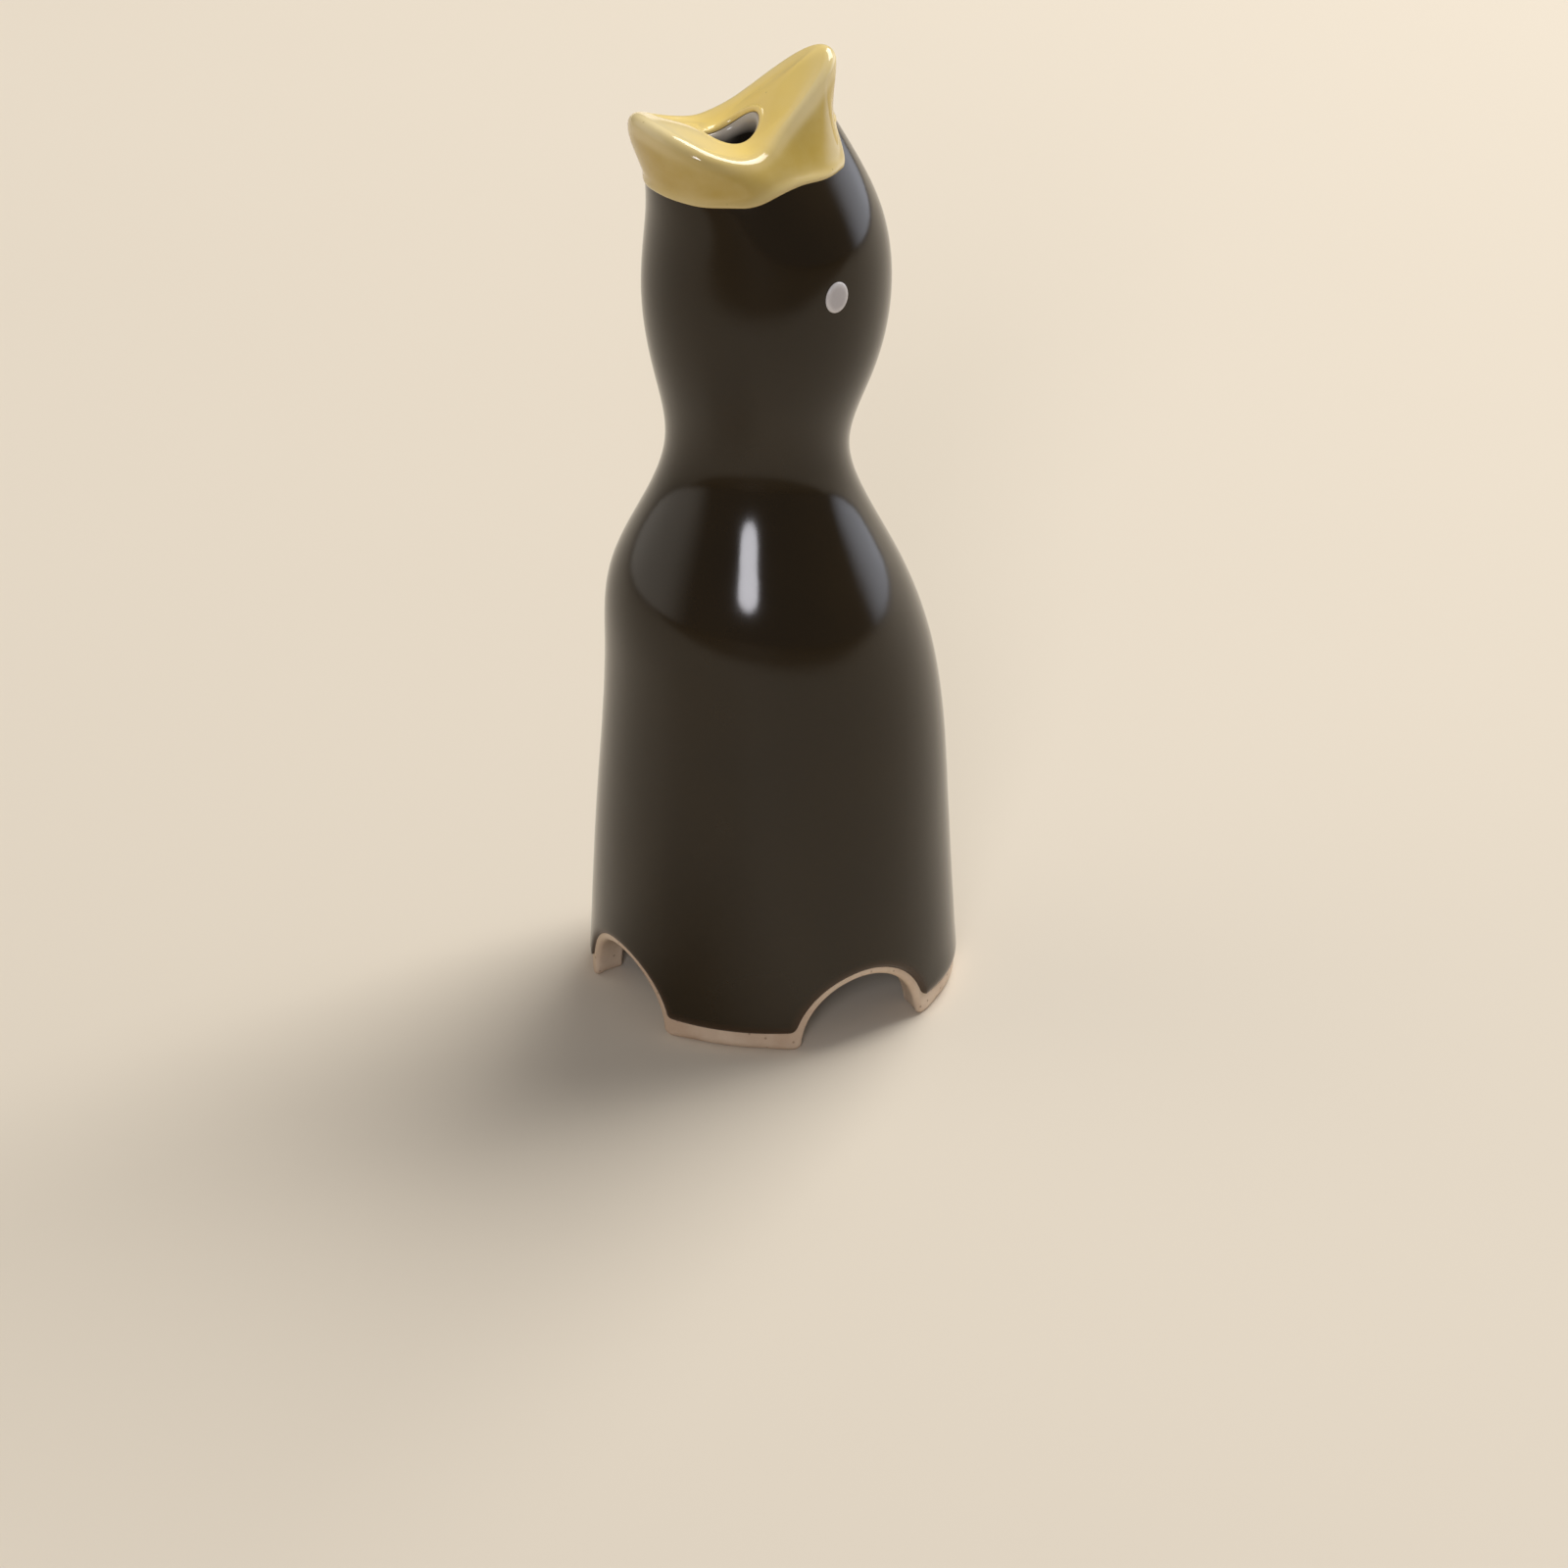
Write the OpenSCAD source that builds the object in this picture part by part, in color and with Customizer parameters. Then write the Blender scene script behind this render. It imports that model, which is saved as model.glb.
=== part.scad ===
// Pie bird: a hollow glazed pottery bird that draws steam in at its foot and out of its open beak.
// It faces -Y with its beak up. The origin is the middle of the foot, on the surface that it stands on.
// Lengths are millimetres. The body sizes are those of the fired clay, and the glaze adds its own coat.

/* [Foot] */
// Diameter of the round foot
foot_d = 37.2; // [35:0.2:46]
// Radius of the rounded edge under the foot
foot_edge_r = 1; // [0.4:0.1:1.6]
// Height of the bare clay left below the glaze
dry_foot_h = 2; // [1.8:0.1:4]

/* [Steam arches] */
// Radius of the half-round arches cut through the foot
arch_r = 7; // [5:0.25:9]

/* [Body] */
// Height of the skirt above the surface that the foot stands on
skirt_z = 20; // [14:0.5:26]
// Reach of the skirt in front of the foot's middle
skirt_front = 17.7; // [16:0.1:20]
// Reach of the skirt behind the foot's middle
skirt_back = 17.5; // [16:0.1:20]
// Height of the breast above the skirt
breast_z = 18; // [14:0.5:21]
// Reach of the breast in front
breast_front = 16.8; // [15:0.1:18]
// Reach of the back behind the breast
breast_back = 15.4; // [14:0.1:17]
// Height of the shoulder above the breast
shoulder_z = 8; // [6:0.5:10]
// Reach of the shoulder in front
shoulder_front = 16.3; // [14:0.1:17]
// Reach of the shoulder behind
shoulder_back = 12.4; // [11:0.1:14]
// Height of the nape, where the back turns into the neck, above the shoulder
nape_z = 7; // [5:0.5:10]
// Reach of the nape in front
nape_front = 13.1; // [12:0.1:15]
// Reach of the nape behind
nape_back = 8.85; // [8:0.05:11]

/* [Neck and head] */
// Height of the narrowest part of the neck above the nape
neck_z = 7; // [5:0.5:10]
// Reach of the neck in front
neck_front = 10.75; // [9:0.05:12]
// Reach of the neck behind
neck_back = 7; // [6.5:0.05:9]
// Height of the throat above the neck
throat_z = 8; // [6:0.5:11]
// Reach of the throat in front
throat_front = 11.85; // [10:0.05:13]
// Reach of the throat behind
throat_back = 9.6; // [8:0.05:11]
// Height of the widest part of the head above the throat
head_z = 9; // [6:0.5:12]
// Reach of the head in front
head_front = 12.85; // [11:0.05:14]
// Reach of the head behind
head_back = 11.25; // [10:0.05:13]
// Height of the crown, where the head rounds in to the beak, above the head's widest part
crown_z = 8; // [6:0.5:10]
// Reach of the crown in front
crown_front = 12.45; // [11:0.05:14]
// Reach of the crown behind
crown_back = 9.9; // [8:0.05:11]
// Width of the crown from side to side
crown_w = 21.8; // [19:0.1:24]

/* [Beak] */
// Height of the gape, the level of the beak's root, above the line between the glazes
gape_z = 2.5; // [2:0.1:3.5]
// Reach of the gape in front
gape_front = 13.7; // [12:0.05:15]
// Reach of the gape behind
gape_back = 6.5; // [6:0.05:9]
// Width of the gape from side to side
gape_w = 14.6; // [13:0.1:17]
// Distance between the tips of the lower and the upper beak
mouth_l = 18.9; // [17:0.1:22]
// Distance between the middles of the lips at the corners of the mouth
mouth_w = 9.2; // [7.6:0.1:10]
// How far the middle of the mouth leads towards the front
mouth_lead = 4.05; // [3.5:0.05:5]
// How far the corners of the mouth lead towards the front
corner_lead = 5.3; // [4.5:0.05:6]
// Height of the corners of the mouth above the gape
corner_z = 1.1; // [0.5:0.1:2]
// Height of the lower beak's tip above the corners of the mouth
lower_tip_z = 3.4; // [1.9:0.1:5.9]
// Height of the upper beak's tip above the corners of the mouth
upper_tip_z = 6.6; // [3.9:0.1:9.9]
// Radius of the rounded lip at the corners of the mouth
corner_lip_r = 1.9; // [1.2:0.05:2.4]
// Radius of the rounded lip at the two tips
tip_lip_r = 1; // [0.6:0.05:1.3]
// Depth of the mouth's hollow below the lips
dish_depth = 0.3; // [0.2:0.1:1.2]

/* [Steam hole] */
// Length of the hole in the mouth, from front to back
hole_l = 7.5; // [6:0.1:8.4]
// Width of the hole
hole_w = 5.8; // [5.2:0.1:6.4]
// How far the middle of the hole leads towards the front
hole_lead = 4.9; // [4.4:0.05:5.4]

/* [Walls and coats] */
// Thickness of the cast wall
wall = 3; // [2:0.1:3.6]
// Thickness of each coat of glaze
glaze_t = 0.3; // [0.2:0.05:0.5]
// Height above the crown at which the beak's glaze meets the black glaze
dip_h = 4.5; // [3.5:0.1:4.8]
// How much lower the beak's glaze ends at the front than at the sides
dip_tilt = 1; // [0:0.1:1.2]
// How much further the black glaze runs up at the back of the beak
dip_back = 1.3; // [0:0.1:1.4]

/* [Eyes] */
// Width of each eye's dot
eye_w = 2.5; // [2:0.1:4]
// Height of each eye's dot
eye_h = 3.1; // [2:0.1:4.5]
// Height of the middle of the eyes above the head's widest part
eye_z = 2.15; // [-3:0.05:5]
// How far the eyes sit behind the foot's middle
eye_back = -0.2; // [-2:0.1:3]
// Lean of the dot's top towards the back, in degrees
eye_lean = 12; // [0:1:30]
// Thickness of the raised enamel dot
eye_t = 0.25; // [0.15:0.05:0.4]

/* [Hidden] */

// Points in a ring, and rings in each stretch of the surface
around = 36;
edge_steps = 2;
body_steps = 26;
beak_steps = 5;
lip_steps = 4;
floor_steps = 4;
dome_steps = 5;
flue_steps = 14;
eye_sides = 24;
// Rounds of settling that make a curve's bend even
settle_rounds = 30;

// How the mouth's edge sweeps up to each tip, and how pointed its plan is there
lower_sweep = 3.2;
upper_sweep = 1.65;
lower_point = 0.7;
upper_point = 1.35;
// Turn at which the lip gives way to the mouth's floor, at the tips and at the corners
tip_lip_end = 112;
corner_lip_end = 95;
// Shares of a curve's length that its ends run straight
root_pull = 0.35;
lip_pull = 0.3;
dome_pull = 0.5;
// How upright the beak's wall ends under the lip: 0 leans with the wall, 1 stands straight
lip_upright = 0.5;
// How late the line between the glazes turns up at the back
dip_back_sweep = 4;
// Directions of the cuts through the foot, and the sides of each
arch_angles = [0, 90];
arch_sides = 64;
// Step for slopes, in millimetres and in degrees
small_step = 0.1;
small_turn = 1;
// How far a cut runs past what it cuts
cut_past = 2;

// Levels above the surface that the foot stands on
breast_level = skirt_z + breast_z;
shoulder_level = breast_level + shoulder_z;
nape_level = shoulder_level + nape_z;
neck_level = nape_level + neck_z;
throat_level = neck_level + throat_z;
head_level = throat_level + head_z;
eye_level = head_level + eye_z;
crown_level = head_level + crown_z;
dip_level = crown_level + dip_h;
gape_level = dip_level + gape_z;
corner_level = gape_level + corner_z;
lower_tip_level = corner_level + lower_tip_z;
upper_tip_level = corner_level + upper_tip_z;

// Columns of a section
WIDTH = 1;
FRONT = 2;
BACK = 3;

// Sections from the foot up: height, width, and reach in front of and behind the foot's middle
sections = [
    [foot_edge_r, foot_d, foot_d / 2, foot_d / 2],
    [skirt_z, skirt_front + skirt_back, skirt_front, skirt_back],
    [breast_level, breast_front + breast_back, breast_front, breast_back],
    [shoulder_level, shoulder_front + shoulder_back, shoulder_front, shoulder_back],
    [nape_level, nape_front + nape_back, nape_front, nape_back],
    [neck_level, neck_front + neck_back, neck_front, neck_back],
    [throat_level, throat_front + throat_back, throat_front, throat_back],
    [head_level, head_front + head_back, head_front, head_back],
    [crown_level, crown_w, crown_front, crown_back],
    [gape_level, gape_w, gape_front, gape_back]
];
top = len(sections) - 1;

// Smooth curve of even bend through each column of the sections
function gap(k) = sections[k + 1][0] - sections[k][0];
function rise(k) = (sections[k + 1] - sections[k]) / gap(k);
function settled(slopes, rounds) =
    rounds < 1 ? slopes : settled([for (k = [0 : top])
        k == 0 ? (3 * rise(0) - slopes[1]) / 2 :
        k == top ? (3 * rise(top - 1) - slopes[top - 1]) / 2 :
        ((3 * rise(k - 1) - slopes[k - 1]) / gap(k - 1) + (3 * rise(k) - slopes[k + 1]) / gap(k))
        / (2 / gap(k - 1) + 2 / gap(k))], rounds - 1);
slopes = settled([for (k = [0 : top]) [0, 0, 0, 0]], settle_rounds);
function section_below(z) = max([0, for (k = [1 : top - 1]) if (z >= sections[k][0]) k]);
function section_at(z) =
    let (k = section_below(z), h = gap(k), s = (z - sections[k][0]) / h)
    sections[k] * (2 * s ^ 3 - 3 * s ^ 2 + 1) + sections[k + 1] * (3 * s ^ 2 - 2 * s ^ 3)
    + h * slopes[k] * (s ^ 3 - 2 * s ^ 2 + s) + h * slopes[k + 1] * (s ^ 3 - s ^ 2);

// Turn t of a ring starts at the front and passes the bird's left side
turns = [for (j = [0 : around - 1]) 360 * j / around];
function unit(v) = v / norm(v);
function mix(a, b, s) = a + (b - a) * s;
function bezier(a, b, c, d, s) =
    a * (1 - s) ^ 3 + 3 * b * s * (1 - s) ^ 2 + 3 * c * s ^ 2 * (1 - s) + d * s ^ 3;

// A point of the body's surface, or of one inset from it
function body_point(z, t, inset) =
    let (size = section_at(z), middle = (size[BACK] - size[FRONT]) / 2)
    [
        (size[WIDTH] / 2 - inset) * sin(t),
        middle - ((size[FRONT] + size[BACK]) / 2 - inset) * cos(t),
        z
    ];

// Line where the black glaze meets the beak's glaze
function dip_z(t) = dip_level - dip_tilt * cos(t) + dip_back * max(0, -cos(t)) ^ dip_back_sweep;
function dip_point(t) = body_point(dip_z(t), t, 0);
function dip_rise(t) =
    unit(body_point(dip_z(t) + small_step, t, 0) - body_point(dip_z(t) - small_step, t, 0));

// Mouth: a lens-shaped lip, low at its corners and high at its two tips
front_tip_y = -mouth_lead - mouth_l / 2;
back_tip_y = -mouth_lead + mouth_l / 2;
function edge_z(y) =
    y < -corner_lead
    ? mix(corner_level, lower_tip_level, ((y + corner_lead) / (front_tip_y + corner_lead)) ^ lower_sweep)
    : mix(corner_level, upper_tip_level, ((y + corner_lead) / (back_tip_y + corner_lead)) ^ upper_sweep);
function mouth_plan(t) = [
    mouth_w / 2 * sign(sin(t)) * abs(sin(t)) ^ (cos(t) > 0 ? lower_point : upper_point),
    -mouth_lead - mouth_l / 2 * cos(t)
];
function lip_out(t) =
    let (along = mouth_plan(t + small_turn) - mouth_plan(t - small_turn))
    unit([along.y, -along.x, 0]);
function lip_r(t) = mix(tip_lip_r, corner_lip_r, sin(t) ^ 2);
function lip_end(t) = mix(tip_lip_end, corner_lip_end, sin(t) ^ 2);
function lip_point(t, turn) =
    let (plan = mouth_plan(t), r = lip_r(t))
    [plan.x, plan.y, edge_z(plan.y) - r] + r * (cos(turn) * lip_out(t) + [0, 0, sin(turn)]);

// Beak's outer wall, from the line between the glazes to the lip
function beak_point(t, s) =
    let (root = dip_point(t), lip = lip_point(t, 0), l = norm(lip - root))
    let (lean = unit(lip - root), end = unit(mix(lean, [0, 0, 1], lip_upright)))
    bezier(root, root + dip_rise(t) * l * root_pull, lip - end * l * lip_pull, lip, s);

// Mouth's floor, which follows the lips' sweep down to the hole
hole_bottom_level = corner_level - dish_depth - wall;
function hole_plan(t) = [hole_w / 2 * sin(t), -hole_lead - hole_l / 2 * cos(t)];
function floor_point(t, s) =
    let (lip = lip_point(t, lip_end(t)), hole = hole_plan(t))
    let (plan = [mix(lip.x, hole.x, s), mix(lip.y, hole.y, s)])
    [plan.x, plan.y, edge_z(plan.y) + mix(lip.z - edge_z(lip.y), -dish_depth, s)];

// Inside of the head, from the hole out to the flue
function flue_point(z, t) = body_point(z, t, wall);
function dome_point(t, s) =
    let (plan = hole_plan(t), rim = [plan.x, plan.y, hole_bottom_level], base = flue_point(head_level, t))
    let (pull = [0, 0, (hole_bottom_level - head_level) * dome_pull])
    bezier(rim, rim - pull, base + pull, base, s);

// Rings of the clay, out from under the foot, up over the beak and down the inside
foot_rings = [for (i = [0 : edge_steps]) [for (t = turns)
    let (turn = 90 * i / edge_steps, r = foot_d / 2 - foot_edge_r + foot_edge_r * sin(turn))
    [r * sin(t), -r * cos(t), foot_edge_r * (1 - cos(turn))]]];
body_rings = [for (i = [0 : body_steps]) [for (t = turns)
    body_point(mix(dry_foot_h, dip_z(t), i / body_steps), t, 0)]];
beak_rings = [for (i = [1 : beak_steps]) [for (t = turns) beak_point(t, i / beak_steps)]];
lip_rings = [for (i = [1 : lip_steps]) [for (t = turns) lip_point(t, lip_end(t) * i / lip_steps)]];
floor_rings = [for (i = [1 : floor_steps]) [for (t = turns) floor_point(t, i / floor_steps)]];
dome_rings = [for (i = [0 : dome_steps]) [for (t = turns) dome_point(t, i / dome_steps)]];
flue_rings = [for (i = [1 : flue_steps]) [for (t = turns)
    flue_point(mix(head_level, dry_foot_h, i / flue_steps), t)]];
sole_rings = [[for (t = turns) (foot_d / 2 - wall) * [sin(t), -cos(t), 0]]];
clay_rings = concat(
    foot_rings, body_rings, beak_rings, lip_rings, floor_rings, dome_rings, flue_rings, sole_rings);

// Rings where one finish ends and the next begins
dry_foot_ring = len(foot_rings);
dip_ring = dry_foot_ring + body_steps;
hole_ring = dip_ring + beak_steps + lip_steps + floor_steps;
flue_end_ring = len(clay_rings) - len(sole_rings) - 1;

// Outward direction of the clay's surface at a point of a ring
function wrap(i, n) = (i + n) % n;
function ring_point(i, j) = clay_rings[wrap(i, len(clay_rings))][wrap(j, around)];
function outward(i, j) =
    unit(cross(ring_point(i, j + 1) - ring_point(i, j - 1), ring_point(i + 1, j) - ring_point(i - 1, j)));
function raised_ring(i, height) =
    [for (j = [0 : around - 1]) clay_rings[i][j] + height * outward(i, j)];

// Closed solid of rings, where the last ring joins the first
module ring_solid(rings) {
    count = len(rings);
    half = around / 2;
    triangles = [for (i = [0 : count - 1], j = [0 : around - 1])
        let (low = i * around, high = wrap(i + 1, count) * around, next = wrap(j + 1, around))
        let (a = low + j, b = high + j, c = high + next, d = low + next)
        each j < half ? [[a, b, c], [a, c, d]] : [[a, b, d], [b, c, d]]];
    polyhedron(points = [for (r = rings) each r], faces = triangles);
}

// A coat over the clay between two rings, from one height above it to another
module coat(first, last, low, high) {
    ring_solid(concat(
        [for (i = [first : last]) raised_ring(i, high)],
        [for (i = [last : -1 : first]) raised_ring(i, low)]));
}

// Half-round cuts through the foot
module arches() {
    for (angle = arch_angles)
        rotate([90, 0, angle])
            cylinder(r = arch_r, h = foot_d + 2 * cut_past, center = true, $fn = arch_sides);
}

// One enamel dot on the black glaze, on the side that the sign names
module eye(side) {
    rows = body_steps / (dip_level - dry_foot_h);
    first = dry_foot_ring + floor((eye_level - eye_h - dry_foot_h) * rows) - 1;
    last = dry_foot_ring + ceil((eye_level + eye_h - dry_foot_h) * rows) + 1;
    oval = [for (i = [0 : eye_sides - 1])
        let (a = 360 * i / eye_sides)
        [eye_w / 2 * cos(a), eye_h / 2 * sin(a)]];
    intersection() {
        coat(first, last, glaze_t, glaze_t + eye_t);
        translate([0, eye_back, eye_level])
            rotate([0, side * 90, 0])
                rotate(side * 90)
                    rotate(-side * eye_lean)
                        linear_extrude(height = foot_d)
                            polygon(oval);
    }
}

module clay_body() {
    color("#d8c7a8")
        difference() {
            ring_solid(clay_rings);
            arches();
        }
}

module black_glaze() {
    color("#1f1a15")
        difference() {
            coat(dry_foot_ring, dip_ring, 0, glaze_t);
            arches();
        }
}

module beak_glaze() {
    color("#e4cb8c")
        coat(dip_ring, hole_ring, 0, glaze_t);
}

module flue_glaze() {
    color("#2a241e")
        difference() {
            coat(hole_ring, flue_end_ring, 0, glaze_t);
            arches();
        }
}

module left_eye() {
    color("#e8e4e0")
        eye(1);
}

module right_eye() {
    color("#e8e4e0")
        eye(-1);
}

clay_body();
black_glaze();
beak_glaze();
flue_glaze();
left_eye();
right_eye();
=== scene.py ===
import math

import bpy
import numpy as np
from mathutils import Euler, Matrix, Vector


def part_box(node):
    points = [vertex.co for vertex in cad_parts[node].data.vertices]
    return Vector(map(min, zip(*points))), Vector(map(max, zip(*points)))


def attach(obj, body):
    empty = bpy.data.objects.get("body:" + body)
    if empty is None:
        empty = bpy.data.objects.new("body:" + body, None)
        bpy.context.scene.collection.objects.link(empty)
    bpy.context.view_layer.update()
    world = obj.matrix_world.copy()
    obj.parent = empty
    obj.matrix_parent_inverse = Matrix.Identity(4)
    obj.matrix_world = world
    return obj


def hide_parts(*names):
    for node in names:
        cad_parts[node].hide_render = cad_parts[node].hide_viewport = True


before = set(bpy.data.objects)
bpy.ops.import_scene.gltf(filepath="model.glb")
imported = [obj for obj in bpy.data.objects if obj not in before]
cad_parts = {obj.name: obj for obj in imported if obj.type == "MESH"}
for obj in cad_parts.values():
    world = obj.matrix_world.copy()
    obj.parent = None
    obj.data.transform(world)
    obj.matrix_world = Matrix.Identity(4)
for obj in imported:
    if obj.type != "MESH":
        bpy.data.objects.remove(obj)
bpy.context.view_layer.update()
print("frame loaded:", sorted(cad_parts))

# Fired clay, in millimetres. Each level is height, width, reach in front and reach behind.
clay = {
    "levels": {
        "foot": (1.0, 37.2, 18.6, 18.6),
        "skirt": (20.0, 35.2, 17.7, 17.5),
        "breast": (38.0, 32.2, 16.8, 15.4),
        "shoulder": (46.0, 28.7, 16.3, 12.4),
        "nape": (53.0, 21.95, 13.1, 8.85),
        "neck": (60.0, 17.75, 10.75, 7.0),
        "throat": (68.0, 21.45, 11.85, 9.6),
        "head": (77.0, 24.1, 12.85, 11.25),
        "crown": (85.0, 21.8, 12.45, 9.9),
        "gape": (92.0, 14.6, 13.7, 6.5),
    },
    "wall": 3.0,
    "tall": 99.7,  # the clay alone, under its glaze
    "columns": 240,  # a multiple of 8, so that the arches and legs share the columns evenly
    "bodyRows": 100,
    "flueRows": 90,
    "domeRows": 26,
}
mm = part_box("clay_body")[1].z / clay["tall"]  # one millimetre, as the frame has it
turns = np.arange(clay["columns"]) * 2 * np.pi / clay["columns"]  # from the front, round by the bird's left
footRadius = clay["levels"]["foot"][1] / 2
slopeStep = 0.1  # millimetres, to read a slope

# Foot with its four steam arches, in millimetres
foot = {
    "archRadius": 7.0,
    "cornerRound": 0.8,  # where an arch meets the sole
    "archEdge": 0.5,
    "legEdge": 1.0,
    "legBlend": 0.5,  # share of a leg over which its edge grows round
    "innerEdge": 0.4,
    "blendHeight": 22.0,  # above this the columns run straight up
    "rowSweep": 1.6,  # above 1 it packs the rows towards the sole
    "rows": 26,
    "edgeRows": 6,
    "soleRows": 4,
    "cornerWeight": 2.5,  # gives the small corners more columns
}

# Open beak, in millimetres and degrees
beak = {
    "mouthLong": 19.45,
    "mouthLead": 4.02,  # how far its middle lies ahead of the axis
    "jawWide": 8.5,
    "spoonSpread": 4.4,  # how far the lower jaw spreads beyond the upper one
    "spoonStart": 0.25,
    "spoonSoft": 0.15,
    "cornerLead": 5.1,
    "cornerHeight": 92.4,
    "cornerSoft": 0.1,
    "lowerTipHeight": 95.7,
    "upperTipHeight": 99.66,
    "lowerSweep": 1.8,
    "upperSweep": 1.2,
    "cornerLip": 1.0,
    "tipLip": 0.7,
    "ridgeLip": 0.35,  # along the sides of the upper jaw
    "tipLipStart": 0.0,  # degrees round the lip where the wall ends
    "cornerLipStart": 45.0,
    "tipLipEnd": 112.0,  # and where the mouth begins
    "cornerLipEnd": 105.0,
    "rootPull": 0.24,  # how far each curve keeps its first direction, as a share of its length
    "lipPull": 0.3,
    "floorPull": 0.3,
    "holeLong": 6.0,
    "holeWide": 5.0,
    "holeLead": 4.8,
    "holeHeight": 92.75,
    "holeTilt": 0.2,
    "holeBow": 0.13,
    "holeRound": 0.35,
    "holeDeep": 3.6,
    "wallRows": 28,
    "lipRows": 20,
    "floorRows": 26,
    "rimRows": 8,
    "throatRows": 6,
}

# Line where the beak's glaze meets the black one, in millimetres and degrees from the front
dip = {
    "front": 88.6,
    "sideRise": 1.25,
    "sideStart": 56.0,
    "sideEnd": 98.0,
    "backRise": 3.0,
    "backStart": 127.0,
    "backEnd": 152.0,
    "waver": ((5, 0.06, 1.0), (9, 0.04, 0.4), (14, 0.02, 2.1)),  # count round the beak, size, start
}


def mixed(a, b, share):
    return a + (b - a) * share


def eased(low, high, value):
    share = np.clip((value - low) / (high - low), 0, 1)
    return share * share * (3 - 2 * share)


def unit(v):
    return v / np.linalg.norm(v, axis=-1, keepdims=True)


def upright(z):
    return np.stack([np.zeros_like(z), np.zeros_like(z), z], -1)


def bezier(a, b, c, d, s):
    return a * (1 - s) ** 3 + 3 * b * s * (1 - s) ** 2 + 3 * c * s ** 2 * (1 - s) + d * s ** 3


def evenSlopes(heights, sizes):
    # slopes that give a smooth curve of even bend through every level
    gap = np.diff(heights)
    rise = np.diff(sizes, axis=0) / gap[:, None]
    count = len(heights)
    weight = np.zeros((count, count))
    goal = np.zeros_like(sizes)
    weight[0, :2], goal[0] = (2, 1), 3 * rise[0]
    weight[-1, -2:], goal[-1] = (1, 2), 3 * rise[-1]
    for k in range(1, count - 1):
        weight[k, k - 1:k + 2] = 1 / gap[k - 1], 2 / gap[k - 1] + 2 / gap[k], 1 / gap[k]
        goal[k] = 3 * (rise[k - 1] / gap[k - 1] + rise[k] / gap[k])
    return np.linalg.solve(weight, goal)


levelTable = np.array(list(clay["levels"].values()))
levelHeights, levelSizes = levelTable[:, 0], levelTable[:, 1:]
levelSlopes = evenSlopes(levelHeights, levelSizes)


def sectionAt(z):
    z = np.asarray(z, float)
    k = np.clip(np.searchsorted(levelHeights, z, side="right") - 1, 0, len(levelHeights) - 2)
    gap = levelHeights[k + 1] - levelHeights[k]
    s = ((z - levelHeights[k]) / gap)[..., None]
    gap = gap[..., None]
    return (levelSizes[k] * (2 * s ** 3 - 3 * s ** 2 + 1) + levelSizes[k + 1] * (3 * s ** 2 - 2 * s ** 3)
            + gap * levelSlopes[k] * (s ** 3 - 2 * s ** 2 + s) + gap * levelSlopes[k + 1] * (s ** 3 - s ** 2))


def bodyPoint(z, turn, inset=0.0):
    across, front, back = np.moveaxis(sectionAt(z), -1, 0)
    x = (across / 2 - inset) * np.sin(turn)
    y = (back - front) / 2 - ((front + back) / 2 - inset) * np.cos(turn)
    return np.stack(np.broadcast_arrays(x, y, z), -1)


def dipHeight(turn):
    # nearly level at the front, a step up at the sides and a climb up the back
    fromFront = np.degrees(np.arccos(np.clip(np.cos(turn), -1, 1)))
    side = dip["sideRise"] * eased(dip["sideStart"], dip["sideEnd"], fromFront)
    back = dip["backRise"] * eased(dip["backStart"], dip["backEnd"], fromFront)
    waver = sum(size * np.sin(count * turn + start) for count, size, start in dip["waver"])
    return dip["front"] + side + back + waver


def softened(value, soft):
    # nothing below zero and straight above it, with a soft bend between
    return (value + np.sqrt(value ** 2 + soft ** 2)) / 2


def edgeHeight(y):
    # the mouth's edge: low at its corners, high at its two tips
    front = beak["mouthLead"] + beak["mouthLong"] / 2 - beak["cornerLead"]
    back = beak["mouthLong"] / 2 - beak["mouthLead"] + beak["cornerLead"]
    low = beak["cornerHeight"]
    ahead = softened(-(y + beak["cornerLead"]) / front, beak["cornerSoft"])
    behind = softened((y + beak["cornerLead"]) / back, beak["cornerSoft"])
    return (low + (beak["lowerTipHeight"] - low) * ahead ** beak["lowerSweep"]
            + (beak["upperTipHeight"] - low) * behind ** beak["upperSweep"])


def mouthPlan(turn):
    # an oval along the upper jaw that spreads into a spoon along the lower one
    spread = beak["spoonSpread"] * softened(np.cos(turn) + beak["spoonStart"], beak["spoonSoft"])
    x = (beak["jawWide"] / 2 + spread) * np.sin(turn)
    return x, -beak["mouthLead"] - beak["mouthLong"] / 2 * np.cos(turn)


def lipOut(turn):
    step = math.radians(1)
    (x0, y0), (x1, y1) = mouthPlan(turn - step), mouthPlan(turn + step)
    return unit(np.stack([y1 - y0, x0 - x1, np.zeros_like(x0)], -1))


def ridgeShare(turn):
    # 1 half way along each side of the upper jaw, 0 at its tip and at the corners
    toOne = 2.6  # brings the highest value to 1
    return toOne * np.clip(-np.cos(turn), 0, 1) * np.sin(turn) ** 2


def lipPoint(turn, roll):
    x, y = mouthPlan(turn)
    r = mixed(beak["tipLip"], beak["cornerLip"], np.sin(turn) ** 2)
    r = mixed(r, beak["ridgeLip"], ridgeShare(turn))
    middle = np.stack([x, y, edgeHeight(y) - r], -1)
    return middle + (r * np.cos(roll))[..., None] * lipOut(turn) + upright(r * np.sin(roll))


def lipHeading(turn, roll):
    # which way the lip's round runs at this roll
    return upright(np.cos(roll)) - np.sin(roll)[..., None] * lipOut(turn)


def lipStart(turn):
    return np.radians(mixed(beak["tipLipStart"], beak["cornerLipStart"], np.sin(turn) ** 2))


def lipEnd(turn):
    return np.radians(mixed(beak["tipLipEnd"], beak["cornerLipEnd"], np.sin(turn) ** 2))


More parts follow.
